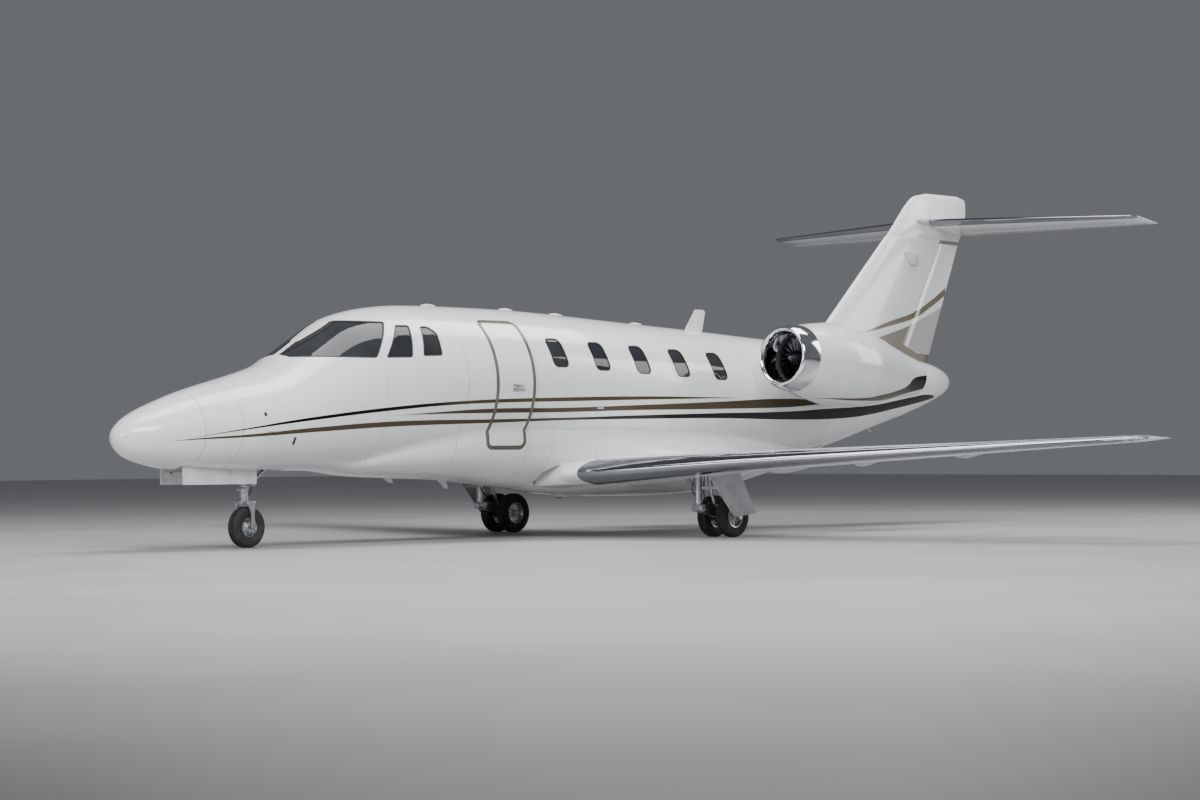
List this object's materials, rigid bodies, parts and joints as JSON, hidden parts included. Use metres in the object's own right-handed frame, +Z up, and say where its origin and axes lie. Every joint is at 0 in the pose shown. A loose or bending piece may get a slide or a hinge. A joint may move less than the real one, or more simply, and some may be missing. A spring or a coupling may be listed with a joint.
{
  "type": "twin-engine business jet",
  "caption": "Twin-engine business jet with a T-tail, swept low wing, rear-mounted engines and an airstair door, parked on its wheels.",
  "frame": {"origin": "on the ground, under the middle of the aircraft's overall length and span", "axes": "+X towards the nose, +Y to port, +Z up"},
  "size_m": [16.9, 16.31, 5.12],
  "materials": {
    "white_paint": "glossy white enamel with tan and black stripes",
    "grey_paint": "satin grey enamel",
    "polished_metal": "polished bare leading edges",
    "gear_steel": "machined and painted gear metal",
    "fan_metal": "dark fan metal",
    "dark_glass": "dark tinted panes",
    "tyre_rubber": "matt black rubber",
    "tan_leather": "soft tan leather",
    "carpet": "short pile carpet",
    "panel_plastic": "matt dark panel"
  },
  "bodies": {
    "airframe": {"radome": "white_paint", "nose_section": "white_paint", "cabin_shell": "white_paint", "aft_fuselage": "white_paint", "belly_fairing": "white_paint", "wing": "white_paint", "fin": "white_paint", "fin_cap": "white_paint", "stabilizer": "white_paint", "nacelle_left": "white_paint", "nacelle_right": "white_paint", "pylon_left": "white_paint", "pylon_right": "white_paint", "nose_gear_door_left": "white_paint", "nose_gear_door_right": "white_paint", "main_gear_door_left": "grey_paint", "main_gear_door_right": "grey_paint", "wing_leading_edge_left": "polished_metal", "wing_leading_edge_right": "polished_metal", "inlet_lip_left": "polished_metal", "inlet_lip_right": "polished_metal", "nose_leg": "gear_steel", "main_leg_left": "gear_steel", "main_leg_right": "gear_steel", "engine_left": "fan_metal", "engine_right": "fan_metal", "windshield": "dark_glass", "cockpit_windows_left": "dark_glass", "cockpit_windows_right": "dark_glass", "cabin_windows_left": "dark_glass", "cabin_windows_right": "dark_glass", "cockpit_seats": "tan_leather", "cabin_seats": "tan_leather", "cabin_floor": "carpet", "instrument_panel": "panel_plastic"},
    "entry_door": {"entry_door": "white_paint"},
    "nose_fork": {"nose_fork": "gear_steel"},
    "nose_wheel": {"nose_wheel": "gear_steel", "nose_tyre": "tyre_rubber"},
    "rudder": {"rudder": "white_paint"},
    "main_wheels_left": {"main_wheel_left": "gear_steel", "main_tyre_inner_left": "tyre_rubber", "main_tyre_outer_left": "tyre_rubber"},
    "fan_left": {"fan_left": "fan_metal"},
    "elevator_left": {"elevator_left": "white_paint"},
    "aileron_left": {"aileron_left": "white_paint"},
    "inboard_flap_left": {"inboard_flap_left": "white_paint"},
    "outboard_flap_left": {"outboard_flap_left": "white_paint"},
    "spoiler_left": {"spoiler_left": "white_paint"},
    "main_wheels_right": {"main_wheel_right": "gear_steel", "main_tyre_inner_right": "tyre_rubber", "main_tyre_outer_right": "tyre_rubber"},
    "fan_right": {"fan_right": "fan_metal"},
    "elevator_right": {"elevator_right": "white_paint"},
    "aileron_right": {"aileron_right": "white_paint"},
    "inboard_flap_right": {"inboard_flap_right": "white_paint"},
    "outboard_flap_right": {"outboard_flap_right": "white_paint"},
    "spoiler_right": {"spoiler_right": "white_paint"}
  },
  "joints": [
    {"name": "nose_steering", "type": "hinge", "parent": "airframe", "child": "nose_fork", "pos_m": [6.47, 0, 0.6], "axis": [0, 0, 1], "range_deg": [-60, 60]},
    {"name": "nose_wheel_spin", "type": "hinge", "parent": "nose_fork", "child": "nose_wheel", "pos_m": [6.43, 0, 0.2509], "axis": [0, 1, 0], "continuous": true},
    {"name": "main_wheels_left_spin", "type": "hinge", "parent": "airframe", "child": "main_wheels_left", "pos_m": [-0.07, 2.05, 0.2761], "axis": [0, 1, 0], "continuous": true},
    {"name": "main_wheels_right_spin", "type": "hinge", "parent": "airframe", "child": "main_wheels_right", "pos_m": [-0.07, -2.05, 0.2761], "axis": [0, 1, 0], "continuous": true},
    {"name": "fan_left_spin", "type": "hinge", "parent": "airframe", "child": "fan_left", "pos_m": [-1.82, 1.62, 2.45], "axis": [0.9962, 0, 0.0872], "continuous": true},
    {"name": "fan_right_spin", "type": "hinge", "parent": "airframe", "child": "fan_right", "pos_m": [-1.82, -1.62, 2.45], "axis": [0.9962, 0, 0.0872], "continuous": true},
    {"name": "entry_door_hinge", "type": "hinge", "parent": "airframe", "child": "entry_door", "pos_m": [2.755, 0.8, 1.19], "axis": [-1, 0, 0], "range_deg": [0, 115]},
    {"name": "rudder_hinge", "type": "hinge", "parent": "airframe", "child": "rudder", "pos_m": [-7.14463, 0, 3.545], "axis": [-0.5193, 0, 0.8546], "range_deg": [-25, 25]},
    {"name": "elevator_left_hinge", "type": "hinge", "parent": "airframe", "child": "elevator_left", "pos_m": [-8.13416, 1.7975, 4.56079], "axis": [0.0634, -0.998, 0.0076], "range_deg": [-20, 15]},
    {"name": "elevator_right_hinge", "type": "hinge", "parent": "airframe", "child": "elevator_right", "pos_m": [-8.13416, -1.7975, 4.56079], "axis": [-0.0634, -0.998, -0.0076], "range_deg": [-20, 15]},
    {"name": "aileron_left_hinge", "type": "hinge", "parent": "airframe", "child": "aileron_left", "pos_m": [-1.05171, 6.66, 1.2003], "axis": [0.1526, -0.9869, -0.0526], "range_deg": [-14, 14]},
    {"name": "aileron_right_hinge", "type": "hinge", "parent": "airframe", "child": "aileron_right", "pos_m": [-1.05171, -6.66, 1.2003], "axis": [-0.1526, -0.9869, 0.0526], "range_deg": [-14, 14]},
    {"name": "inboard_flap_left_hinge", "type": "hinge", "parent": "airframe", "child": "inboard_flap_left", "pos_m": [-0.47132, 2.07, 0.94629], "axis": [0.0155, -0.9979, -0.063], "range_deg": [0, 37]},
    {"name": "inboard_flap_right_hinge", "type": "hinge", "parent": "airframe", "child": "inboard_flap_right", "pos_m": [-0.47132, -2.07, 0.94629], "axis": [-0.0155, -0.9979, 0.063], "range_deg": [0, 37]},
    {"name": "outboard_flap_left_hinge", "type": "hinge", "parent": "airframe", "child": "outboard_flap_left", "pos_m": [-0.67908, 4.25, 1.07173], "axis": [0.1526, -0.9869, -0.0526], "range_deg": [0, 37]},
    {"name": "outboard_flap_right_hinge", "type": "hinge", "parent": "airframe", "child": "outboard_flap_right", "pos_m": [-0.67908, -4.25, 1.07173], "axis": [-0.1526, -0.9869, 0.0526], "range_deg": [0, 37]},
    {"name": "spoiler_left_hinge", "type": "hinge", "parent": "airframe", "child": "spoiler_left", "pos_m": [-0.4255, 4.25, 1.16151], "axis": [-0.1911, 0.9809, 0.0367], "range_deg": [0, 45]},
    {"name": "spoiler_right_hinge", "type": "hinge", "parent": "airframe", "child": "spoiler_right", "pos_m": [-0.4255, -4.25, 1.16151], "axis": [0.1911, 0.9809, -0.0367], "range_deg": [0, 45]}
  ],
  "couplings": [
    {"joint": "elevator_right_hinge", "follows": "elevator_left_hinge", "ratio": 1},
    {"joint": "aileron_right_hinge", "follows": "aileron_left_hinge", "ratio": -1},
    {"joint": "inboard_flap_right_hinge", "follows": "inboard_flap_left_hinge", "ratio": 1},
    {"joint": "outboard_flap_left_hinge", "follows": "inboard_flap_left_hinge", "ratio": 1},
    {"joint": "outboard_flap_right_hinge", "follows": "inboard_flap_left_hinge", "ratio": 1},
    {"joint": "spoiler_right_hinge", "follows": "spoiler_left_hinge", "ratio": 1}
  ]
}
